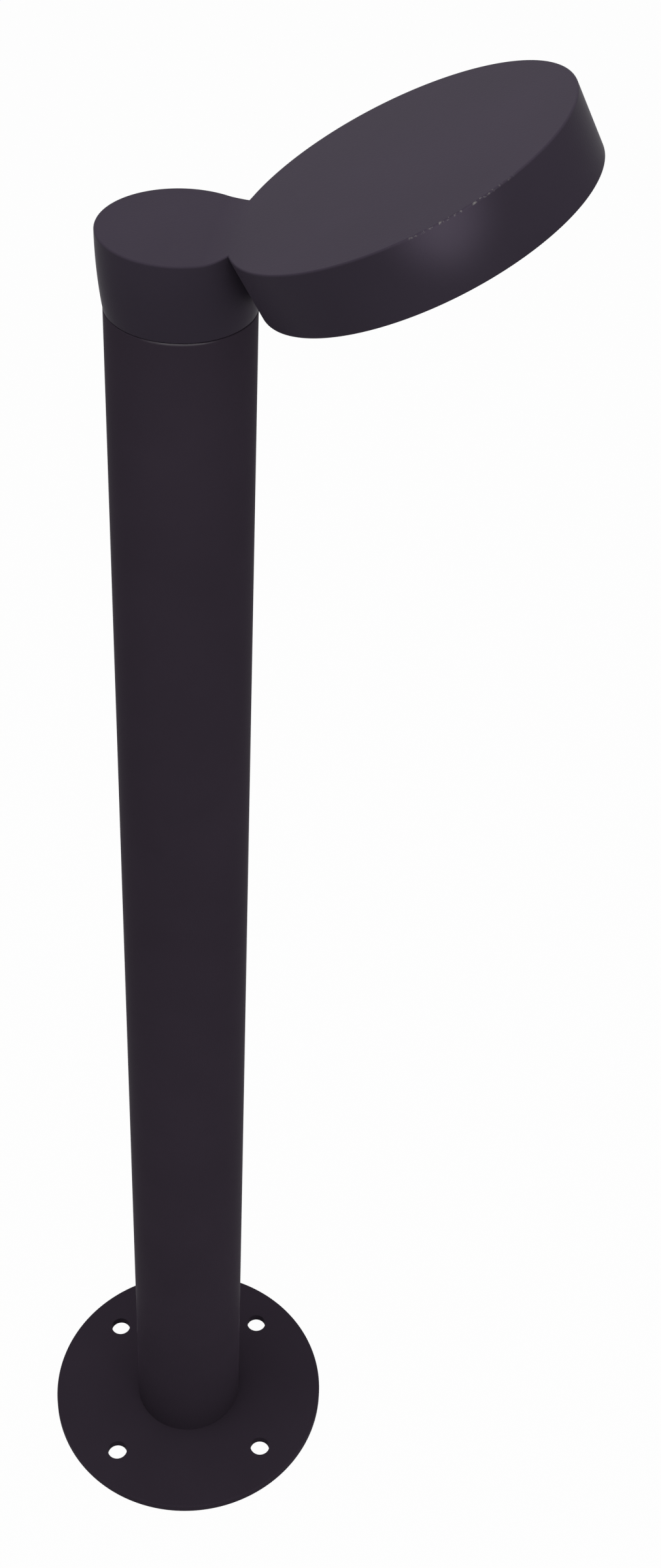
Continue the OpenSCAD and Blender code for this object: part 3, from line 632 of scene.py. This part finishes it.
class BollardBase(Operator):
    """Turns the base plate and drills its holes"""
    bl_idname = "bollard.base"
    bl_label = "Base plate"

    def execute(self, context):
        post = context.scene.bollard_post
        r = post.base_d / 2
        plate = as_object(turned([
            (r, 0),
            (r, post.base_t - post.base_chamfer),
            (r - post.base_chamfer, post.base_t),
        ], FINE_SIDES), "plate")
        above = post.base_t + OVER
        cut(plate, rod(post.cable_d / 2, -OVER, above))
        for place in around(post.anchor_count, post.anchor_pcd / 2, post.anchor_turn):
            cut(plate, rod(post.anchor_d / 2, -OVER, above), place)
        for place in channels(post):
            cut(plate, flat_hole(post.screw_d, above), place @ upside_down())
        soften(plate, sharper_than(CUT_EDGE), post.edge, segments=2)
        finish_piece(plate, "base_flange", "base_plate", "coated_plate")
        return {"FINISHED"}


class BollardTube(Operator):
    """Makes the post with its slotted screw channels"""
    bl_idname = "bollard.tube"
    bl_label = "Post"

    def execute(self, context):
        post = context.scene.bollard_post
        r = post.post_d / 2
        in_r = r - post.post_wall
        low = post.base_t
        high = post.post_top
        edge = post.joint_chamfer
        rim = arc((r - edge, high - edge), edge, 0, 90, steps=4)
        section = [(in_r, low), (r, low), (r, high - 2 * edge), *rim, (in_r, high)]
        tube = as_object(turned(section, FINE_SIDES, closed=True), "tube")
        mark_wear(tube, lambda v: v.co.z > high - 1.5 * edge and v.co.xy.length > r - edge)

        bore = post.screw_d / 2 + THREAD_GAP
        channel = bore + post.channel_wall
        web = post.channel_web / 2
        web_end = post.channel_inset + post.post_wall / 2
        slot = post.channel_slot / 2
        places = channels(post)
        for place in places:
            join(tube, rod(channel, low, high, BORE_SIDES), place)
            join(tube, block((0, -web, low), (web_end, web, high)), place)
        for place in places:
            cut(tube, rod(bore, low - OVER, high + OVER, BORE_SIDES), place)
            cut(tube, block((-channel - OVER, -slot, low - OVER), (0, slot, high + OVER)), place)
        finish_piece(tube, "post_profile", "post_tube", "coated_post")
        return {"FINISHED"}


def disc_frame(post, head):
    """Places the disc: its axis is Z and its top face is at zero."""
    near = Matrix.Translation((head.disc_near, 0, post.post_top + head.cap_h))
    tilt = Matrix.Rotation(-head.disc_tilt, 4, "Y")
    return near @ tilt @ Matrix.Translation((head.disc_d / 2, 0, 0))


def cap_body(post, head):
    """The cap: an arc that leans in to the post's width, left tall so that the top can be cut."""
    r_low = post.post_d / 2
    r_top = head.cap_top_d / 2
    high = head.cap_h - head.rim_round
    lean = r_top - r_low
    bow = (high * high + lean * lean) / (2 * lean)
    sweep = math.degrees(math.asin(high / bow))
    wall = arc((r_top - bow, high), bow, -sweep, 0, steps=12)
    foot = [(r_low - post.joint_chamfer, 0), (r_low, post.joint_chamfer)]
    return turned(foot + wall[1:] + [(r_top, 1.4 * head.cap_h)], FINE_SIDES)


def disc_body(head):
    """The disc: a drum with a little draft and a rounded lower edge, left tall above its top."""
    r = head.disc_d / 2
    edge = head.rim_round
    rounding = arc((r - head.disc_draft - edge, edge - head.disc_h), edge, -90, 0, steps=5)
    return turned(rounding + [(r, -edge), (r, 0.1 * head.disc_h)], DISC_SIDES)


def top_cut(post, head):
    """What lies under the head's top: level over the cap, tilted over the disc, softly blended."""
    low = post.post_top - OVER
    high = post.post_top + head.cap_h
    reach = head.disc_d + head.cap_top_d
    crease = Vector((head.disc_near, high))
    far = crease + reach * Vector((math.cos(head.disc_tilt), math.sin(head.disc_tilt)))
    outline = [(-head.cap_top_d, low), (far.x, low), far, crease, (-head.cap_top_d, high)]
    bm = extruded([(x, -head.disc_d, z) for x, z in outline], (0, 2 * head.disc_d, 0))
    fold = [e for e in bm.edges if all(abs(v.co.x - crease.x) < MERGE for v in e.verts)]
    bmesh.ops.bevel(
        bm, geom=fold, offset=head.crease_blend, offset_type="OFFSET", segments=12, profile=0.5,
        affect="EDGES", material=-1,
    )
    return bm


def on_top(post, head):
    """Chooses the edges between the head's top and its walls."""
    high = post.post_top + head.cap_h
    slope = math.tan(head.disc_tilt)
    rise = head.crease_blend * math.tan(head.disc_tilt / 2)

    def is_top(face):
        middle = face.calc_center_median()
        level = high + max(0.0, (middle.x - head.disc_near) * slope)
        return face.normal.z > UPWARD and -OVER / 2 < middle.z - level < rise

    return lambda edge: is_top(edge.link_faces[0]) != is_top(edge.link_faces[1])


def cap_hollow(post, head):
    """The inside of the cap: straight where it slips over the adapter, then along the wall."""
    wide = head.cap_top_d / 2 - head.wall - head.disc_draft
    high = head.cap_h - head.top
    return turned([
        (post.post_d / 2 - post.post_wall, -OVER),
        (post.post_d / 2 - post.post_wall, head.flange_t),
        (wide, high - head.rim_round),
        (wide - head.rim_round, high),
    ])


def disc_in_r(head):
    """Inner radius of the disc's wall."""
    return head.disc_d / 2 - head.disc_draft - head.wall


def seat_z(head):
    """Level of the seat of gasket and bezel, in the disc's frame."""
    return -head.disc_h + head.lip_t + head.diffuser_t + head.gasket_t


def seal_wall_out(head):
    """Outer radius of the gasket's wall."""
    return head.seal_wall_r + head.seal_wall_t


def bezel_ring(head):
    """Places of the bezel's screws, midway between the gasket's wall and the disc's."""
    return around(head.bezel_screws, (seal_wall_out(head) + disc_in_r(head)) / 2)


def board_ring(head):
    """Places of the lamp board's screws."""
    return around(head.board_screws, head.board_screw_r)


def disc_bosses(head):
    """Pad, ribs, bosses and gasket wall under the disc's top."""
    top = -head.top + OVER
    low = -head.top - head.rib_h
    still = Matrix.Identity(4)
    yield rod(head.pad_r, low, top), still
    rib_end = (head.seal_wall_r - head.pad_r + 2 * OVER, head.rib_t / 2, top)
    for place in around(head.rib_count, head.pad_r - OVER):
        yield block((0, -head.rib_t / 2, low), rib_end), place
    for place in board_ring(head):
        yield rod(head.board_screw_d / 2 + BOSS_WALL, low, top, BOSS_SIDES), place
    near = head.seal_wall_r
    far = seal_wall_out(head)
    seat = seat_z(head)
    yield turned([(far, seat), (far, top), (near, top), (near, seat)], closed=True), still
    boss_r = (disc_in_r(head) - far) / 2 + SLIP_GAP
    for place in bezel_ring(head):
        yield rod(boss_r, seat, top, BOSS_SIDES), place


def disc_holes(head):
    """Threaded holes for board and bezel, and the way of the lead through the gasket wall."""
    low = -head.top - head.rib_h
    for place in board_ring(head):
        bore = head.board_screw_d / 2 + THREAD_GAP
        yield rod(bore, low - OVER, low + head.rib_h, BOSS_SIDES), place
    mouth = seat_z(head) - OVER
    for place in bezel_ring(head):
        bore = head.bezel_screw_d / 2 + THREAD_GAP
        yield rod(bore, mouth, mouth + head.bezel_screw_l, BOSS_SIDES), place
    start = Matrix.Translation((-seal_wall_out(head) - OVER, 0, head.lead_z))
    across = start @ Matrix.Rotation(QUARTER, 4, "Y")
    yield rod(head.lead_d / 2 + OVER, 0, head.seal_wall_t + 4 * OVER, BOSS_SIDES), across


def grub_places(post, head):
    """The head's two grub screws, each along its own Z out from the post's axis."""
    for turned_by in (QUARTER, math.pi):
        lift = Matrix.Translation((0, 0, post.post_top + head.grub_up))
        yield Matrix.Rotation(turned_by, 4, "Z") @ lift @ Matrix.Rotation(QUARTER, 4, "Y")


class BollardCasting(Operator):
    """Builds the cast head: cap and disc in one, hollow, with ribs and bosses inside"""
    bl_idname = "bollard.casting"
    bl_label = "Cast head"

    def execute(self, context):
        post = context.scene.bollard_post
        head = context.scene.bollard_head
        lift = Matrix.Translation((0, 0, post.post_top))
        disc = disc_frame(post, head)
        body = as_object(cap_body(post, head), "casting", lift)
        join(body, disc_body(head), disc)
        keep(body, top_cut(post, head))
        soften(body, on_top(post, head), head.rim_round, segments=5)
        cut(body, cap_hollow(post, head), lift)
        cut(body, rod(disc_in_r(head), -head.disc_h - OVER, -head.top, FINE_SIDES), disc)
        for boss, place in disc_bosses(head):
            join(body, boss, disc @ place)
        near = head.collar_r + SLIP_GAP
        far = near + post.post_d / 2 - head.collar_r - post.post_wall / 2
        for place in grub_places(post, head):
            join(body, rod(head.grub_d / 2 + BOSS_WALL, near, far, BORE_SIDES), place)
        for place in grub_places(post, head):
            cut(body, rod(head.grub_d / 2 + THREAD_GAP, 0, head.cap_top_d, BORE_SIDES), place)
        for hole, place in disc_holes(head):
            cut(body, hole, disc @ place)
        finish_piece(body, "cast_head", "head_housing", "coated_casting")
        return {"FINISHED"}


def bezel_section(head, window_r, out_r, step_r):
    """The bezel's section: rounded below, with a step that the diffuser lies on."""
    low = -head.disc_h
    lip = low + head.lip_t
    edge = head.bezel_edge
    inner = arc((window_r + edge, low + edge), edge, 180, 270, steps=4)
    outer = arc((out_r - edge, low + edge), edge, -90, 0, steps=4)
    seat = seat_z(head)
    return inner + outer + [(out_r, seat), (step_r, seat), (step_r, lip), (window_r, lip)]


def gasket_section(near, far, low, high, bead):
    """The gasket's section: a flat band with rounded corners, its radii and levels given."""
    corners = [
        ((near + bead, low + bead), 270, 180),
        ((near + bead, high - bead), 180, 90),
        ((far - bead, high - bead), 90, 0),
        ((far - bead, low + bead), 0, -90),
    ]
    return [p for middle, start, end in corners for p in arc(middle, bead, start, end, steps=3)]


class BollardLamp(Operator):
    """Makes what closes the disc's underside: bezel, diffuser and gasket"""
    bl_idname = "bollard.lamp"
    bl_label = "Underside"

    def execute(self, context):
        head = context.scene.bollard_head
        disc = disc_frame(context.scene.bollard_post, head)
        out_r = disc_in_r(head) - SLIP_GAP
        diffuser_r = out_r - head.bezel_w - SLIP_GAP
        window_r = diffuser_r - head.lip_reach
        section = bezel_section(head, window_r, out_r, diffuser_r + SLIP_GAP)
        bezel = as_object(turned(section, FINE_SIDES, closed=True), "bezel", disc)
        mouth = Matrix.Translation((0, 0, -head.disc_h)) @ upside_down()
        for place in bezel_ring(head):
            cut(bezel, flat_hole(head.bezel_screw_d, head.disc_h), disc @ place @ mouth)
        soften(bezel, sharper_than(CUT_EDGE), context.scene.bollard_post.edge, segments=2)
        finish_piece(bezel, "lamp_bezel", "bezel_ring", "coated_casting")

        top = seat_z(head) - head.gasket_t
        shoulder = top - head.diffuser_t
        face = shoulder - head.diffuser_step
        face_r = window_r - SLIP_GAP
        edge = head.bezel_edge
        rounding = arc((face_r - edge, face + edge), edge, 0, -90, steps=5)
        pane = [(diffuser_r, top), (diffuser_r, shoulder), (face_r, shoulder), *rounding]
        pane = as_object(turned(pane, FINE_SIDES), "pane", disc)
        finish_piece(pane, "lamp_diffuser", "diffuser", "opal_diffuser")

        section = gasket_section(
            head.seal_wall_r, diffuser_r - OVER, top, seat_z(head), head.gasket_t / 4
        )
        gasket = as_object(turned(section, FINE_SIDES, closed=True), "gasket", disc)
        finish_piece(gasket, "lamp_gasket", "diffuser_gasket", "seal_rubber")
        return {"FINISHED"}


def threaded(d, low, high):
    """A threaded shank along Z: a toothed line, spun once while it climbs one pitch."""
    pitch = d * PITCH
    crest = d / 2
    root = crest - TOOTH * pitch
    # The line starts two turns too low and ends at least one too high, and the ends are cut off.
    turns = math.ceil((high - low) / pitch) + 3
    heights = [low + (i / 2 - 2) * pitch for i in range(2 * turns + 1)]
    bm = bmesh.new()
    line = [bm.verts.new((root if i % 2 else crest, 0, z)) for i, z in enumerate(heights)]
    edges = [bm.edges.new(pair) for pair in zip(line, line[1:])]
    bmesh.ops.spin(
        bm, geom=line + edges, cent=(0, 0, 0), axis=(0, 0, 1), dvec=(0, 0, pitch / THREAD_SIDES),
        angle=FULL_TURN, steps=THREAD_SIDES, use_merge=False,
    )
    bmesh.ops.remove_doubles(bm, verts=bm.verts, dist=MERGE)
    for level, away in ((low, -1), (high, 1)):
        everything = [*bm.verts, *bm.edges, *bm.faces]
        bmesh.ops.bisect_plane(
            bm, geom=everything, plane_co=(0, 0, level), plane_no=(0, 0, away), clear_outer=True
        )
        bmesh.ops.holes_fill(bm, edges=[
            e for e in bm.edges
            if e.is_boundary and all(abs(v.co.z - level) < MERGE for v in e.verts)
        ], sides=0)
    bmesh.ops.recalc_face_normals(bm, faces=bm.faces)
    if bm.calc_volume(signed=True) < 0:
        bmesh.ops.reverse_faces(bm, faces=bm.faces)
    return bm


def hex_socket(across, low, high):
    """The cutter of a hexagon socket, its corners across the given width."""
    return rod(across / 2, low, high, sides=6)


def cap_screw(d, reach):
    """A socket cap screw: its seat at zero, its head above and its threaded shank below."""
    head_r = d * HEAD_R
    edge = d / 12
    top = arc((head_r - edge, d - edge), edge, 0, 90, steps=3)
    screw = as_object(turned([(head_r, 0), *top], BORE_SIDES), "screw")
    cut(screw, hex_socket(0.95 * d, d / 2, 2 * d))
    join(screw, threaded(d, -reach, d / 4))
    return screw


def flat_screw(d, reach):
    """A countersunk screw: the flat of its head at zero, its shank below."""
    rim = d / 30
    screw = as_object(turned([(d / 2, -d / 2), (d, -rim), (d - rim / 2, 0)], BORE_SIDES), "screw")
    cut(screw, hex_socket(0.7 * d, -0.4 * d, d))
    join(screw, threaded(d, -reach, -0.45 * d))
    return screw


def grub_screw(d, reach):
    """A grub screw with a cone point at zero and a socket at its far end."""
    screw = as_object(threaded(d, d / 4, reach), "screw")
    join(screw, turned([(d / 4, 0), (0.4 * d, 0.15 * d), (0.4 * d, d / 2)], BORE_SIDES))
    cut(screw, hex_socket(d / 2, reach - d / 2, reach + d))
    return screw


def set_of(model, places, name, node, slot="stainless_screws"):
    """Puts copies of a model in their places as one piece."""
    bm = bmesh.new()
    for place in places:
        count = len(bm.verts)
        bm.from_mesh(model.data)
        bm.verts.ensure_lookup_table()
        bmesh.ops.transform(bm, matrix=place, verts=bm.verts[count:])
    discard(model)
    finish_piece(as_object(bm, name), name, node, slot)


def pair_of(d, name, node, across, along, facing, heads_low=False):
    """A node's two cap screws, at its box's ends across one axis, their heads along another."""
    low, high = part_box(node)
    middle = (low + high) / 2
    middle[along] = low[along] + d if heads_low else high[along] - d
    places = []
    for end in (low[across] + d * HEAD_R, high[across] - d * HEAD_R):
        middle[across] = end
        places.append(Matrix.Translation(middle) @ facing)
    set_of(cap_screw(d, high[along] - low[along] - d), places, name, node)


class BollardFixings(Operator):
    """Makes the threaded screws and puts them in their holes"""
    bl_idname = "bollard.fixings"
    bl_label = "Screws"

    def execute(self, context):
        post = context.scene.bollard_post
        head = context.scene.bollard_head
        disc = disc_frame(post, head)
        flip = upside_down()
        face_back = Matrix.Rotation(-QUARTER, 4, "X")

        lift = Matrix.Translation((0, 0, RECESS))
        places = [c @ lift @ flip for c in channels(post)]
        screw = flat_screw(post.screw_d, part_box("base_screws")[1].z - RECESS)
        set_of(screw, places, "plate_screws", "base_screws")

        low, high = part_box("adapter_screws")
        seat = high.z - post.screw_d
        lift = Matrix.Translation((0, 0, seat))
        places = [c @ lift for c in channels(post)]
        screw = cap_screw(post.screw_d, seat - low.z)
        set_of(screw, places, "flange_screws", "adapter_screws")

        tip = Matrix.Translation((0, 0, head.grub_tip_r))
        places = [g @ tip for g in grub_places(post, head)]
        screw = grub_screw(head.grub_d, post.post_d / 2 - head.grub_tip_r)
        set_of(screw, places, "locking_screws", "head_grub_screws")

        d = head.tray_screw_d
        pair_of(d, "hanger_screws", "tray_screws", X_AXIS, Z_AXIS, flip, heads_low=True)
        pair_of(d, "ear_screws", "driver_screws", Z_AXIS, Y_AXIS, face_back)
        d = head.board_screw_d
        pair_of(d, "saddle_screws", "clip_screws", X_AXIS, Y_AXIS, face_back)

        lift = Matrix.Translation((0, 0, head.board_face))
        places = [disc @ p @ lift @ flip for p in board_ring(head)]
        screw = cap_screw(d, -OVER - head.board_face - head.top)
        set_of(screw, places, "lamp_screws", "board_screws")

        lift = Matrix.Translation((0, 0, RECESS - head.disc_h))
        places = [disc @ p @ lift @ flip for p in bezel_ring(head)]
        screw = flat_screw(head.bezel_screw_d, head.bezel_screw_l)
        set_of(screw, places, "bezel_fixings", "bezel_screws")
        return {"FINISHED"}


class BollardChips(Operator):
    """Makes the lamp packages on the board"""
    bl_idname = "bollard.chips"
    bl_label = "Lamp packages"

    def execute(self, context):
        head = context.scene.bollard_head
        disc = disc_frame(context.scene.bollard_post, head)
        side = head.chip_side
        high = head.chip_h
        bm = bmesh.new()
        bmesh.ops.create_cube(bm, size=1.0, matrix=Matrix.Diagonal((side, side, high, 1)))
        bmesh.ops.bevel(
            bm, geom=bm.edges[:], offset=high / 8, offset_type="OFFSET", segments=1, profile=0.5,
            affect="EDGES", material=-1,
        )
        face = min(bm.faces, key=lambda f: f.calc_center_median().z)
        bmesh.ops.inset_region(bm, faces=[face], thickness=side / 8)
        bmesh.ops.inset_region(bm, faces=[face], thickness=side / 20, depth=-high / 6)
        chip = as_object(bm, "chip")
        lift = Matrix.Translation((0, 0, head.chip_face - high / 2))
        places = []
        for i in range(head.chip_rings):
            radius = head.chip_ring_r + i * head.chip_ring_step
            count = math.floor(FULL_TURN * radius / head.chip_pitch)
            places += [disc @ p @ lift for p in around(count, radius, start=0)]
        set_of(chip, places, "lamp_chips", "led_packages", "lamp_phosphor")
        return {"FINISHED"}


def look(stage):
    """Camera from its place, heading, pitch and roll."""
    cos, sin = math.cos, math.sin
    level = cos(stage.pitch)
    ahead = Vector((sin(stage.heading) * level, cos(stage.heading) * level, -sin(stage.pitch)))
    right = Vector((cos(stage.heading), -sin(stage.heading), 0))
    up = right.cross(ahead)
    side = cos(stage.roll) * right + sin(stage.roll) * up
    above = cos(stage.roll) * up - sin(stage.roll) * right
    data = bpy.data.cameras.new("camera")
    data.lens = stage.lens
    data.sensor_width = SENSOR
    data.shift_y = stage.shift
    data.clip_start = NEAREST
    data.clip_end = FARTHEST
    camera = bpy.data.objects.new("camera", data)
    turned_to = Matrix((side, above, -ahead)).transposed().to_4x4()
    camera.matrix_world = Matrix.Translation(stage.eye) @ turned_to
    bpy.context.scene.collection.objects.link(camera)
    bpy.context.scene.camera = camera


def shine(data, place, target, power):
    """Puts a light in its place, facing a point, power in watts."""
    data.energy = power
    lamp = bpy.data.objects.new(data.name, data)
    lamp.location = place
    towards = Vector(target) - Vector(place)
    lamp.rotation_euler = towards.to_track_quat("-Z", "Y").to_euler()
    bpy.context.scene.collection.objects.link(lamp)


def soft_box(name, place, target, side, power):
    """A square area light."""
    data = bpy.data.lights.new(name, "AREA")
    data.size = side
    shine(data, place, target, power)


def soft_spot(name, place, target, degrees, power):
    """A small spot light whose round patch fades out to its edge."""
    data = bpy.data.lights.new(name, "SPOT")
    data.spot_size = math.radians(degrees)
    data.spot_blend = 1.0
    data.shadow_soft_size = 0.01
    shine(data, place, target, power)


def seen_directly(start):
    """1 for the rays that show the background, straight, mirrored or through glass."""
    rays = ("Is Camera Ray", "Is Glossy Ray", "Is Transmission Ray")
    camera, glossy, through = (start.node("ShaderNodeLightPath", output=ray) for ray in rays)
    return camera + glossy + through


def white_floor(stage):
    """A wide floor, nearly plain white where it is seen, and clear from below."""
    bm = bmesh.new()
    bmesh.ops.create_grid(bm, x_segments=8, y_segments=8, size=FLOOR_REACH)
    floor = as_object(bm, "floor", Matrix.Translation((0, 0, -FLOOR_DROP)))
    start = new_material("floor")
    shown = stage.floor_glow * seen_directly(start)
    paper = start.node("ShaderNodeBsdfDiffuse", (), {"Color": opaque(stage.floor)})
    glow = start.node("ShaderNodeEmission", (), {"Color": WHITE, "Strength": 1.0})
    above = start.node("ShaderNodeMixShader", (), {0: shown, 1: paper, 2: glow})
    clear = start.node("ShaderNodeBsdfTransparent")
    below = start.node("ShaderNodeNewGeometry", output="Backfacing")
    sheet = start.node("ShaderNodeMixShader", (), {0: below, 1: above, 2: clear})
    start.node("ShaderNodeOutputMaterial", (), {"Surface": sheet})
    floor.data.materials.append(bpy.data.materials["floor"])


def white_room(stage):
    """Even light from all round, plain white where it is seen."""
    world = bpy.data.worlds.new("studio")
    bpy.context.scene.world = world
    world.use_nodes = True
    world.node_tree.nodes.clear()
    start = Link(world.node_tree)
    strength = over_range(start, seen_directly(start), 0.0, 1.0, stage.ambient, 1.0)
    sockets = {"Color": WHITE, "Strength": strength}
    backdrop = start.node("ShaderNodeBackground", (), sockets)
    start.node("ShaderNodeOutputWorld", (), {"Surface": backdrop})


class BollardStudio(Operator):
    """Makes the floor, the lights and the camera"""
    bl_idname = "bollard.studio"
    bl_label = "Stage"

    def execute(self, context):
        stage = context.scene.bollard_stage
        look(stage)
        white_floor(stage)
        white_room(stage)
        soft_box("key", (-0.1, -0.2, 1.98), target=(0.05, 0, 0.98), side=0.9, power=8.5)
        soft_box("fill", (1.1, -1.2, 0.9), target=(0.1, 0, 0.7), side=0.6, power=2.8)
        edge = (0.1275, -0.0828, 1.0373)
        soft_spot("glow", (0.86, -1.3, 0.74), target=edge, degrees=2.1, power=60)
        context.scene.view_settings.view_transform = "Standard"
        return {"FINISHED"}


MAKING_ORDER = [
    BollardStudio,
    BollardMaterials,
    BollardBase,
    BollardTube,
    BollardCasting,
    BollardLamp,
    BollardChips,
    BollardFixings,
]
GROUPS = {
    "bollard_post": BollardPost,
    "bollard_head": BollardHead,
    "bollard_finish": BollardFinish,
    "bollard_stage": BollardStage,
}


class BollardPanel(Panel):
    """Lists the sizes, the colours and the making steps"""
    bl_idname = "VIEW3D_PT_bollard"
    bl_label = "Bollard light"
    bl_space_type = "VIEW_3D"
    bl_region_type = "UI"
    bl_category = "Bollard"

    def draw(self, context):
        for maker in MAKING_ORDER:
            self.layout.operator(maker.bl_idname)
        for name, group in GROUPS.items():
            box = self.layout.box()
            for size in group.__annotations__:
                box.prop(getattr(context.scene, name), size)


def register():
    for made in [*GROUPS.values(), *MAKING_ORDER, BollardPanel]:
        bpy.utils.register_class(made)
    for name, group in GROUPS.items():
        setattr(bpy.types.Scene, name, PointerProperty(type=group))


def unregister():
    for name in GROUPS:
        delattr(bpy.types.Scene, name)
    for made in [*GROUPS.values(), *MAKING_ORDER, BollardPanel]:
        bpy.utils.unregister_class(made)


def main():
    register()
    for maker in MAKING_ORDER:
        group, name = maker.bl_idname.split(".")
        getattr(getattr(bpy.ops, group), name)()


if __name__ == "__main__":
    main()
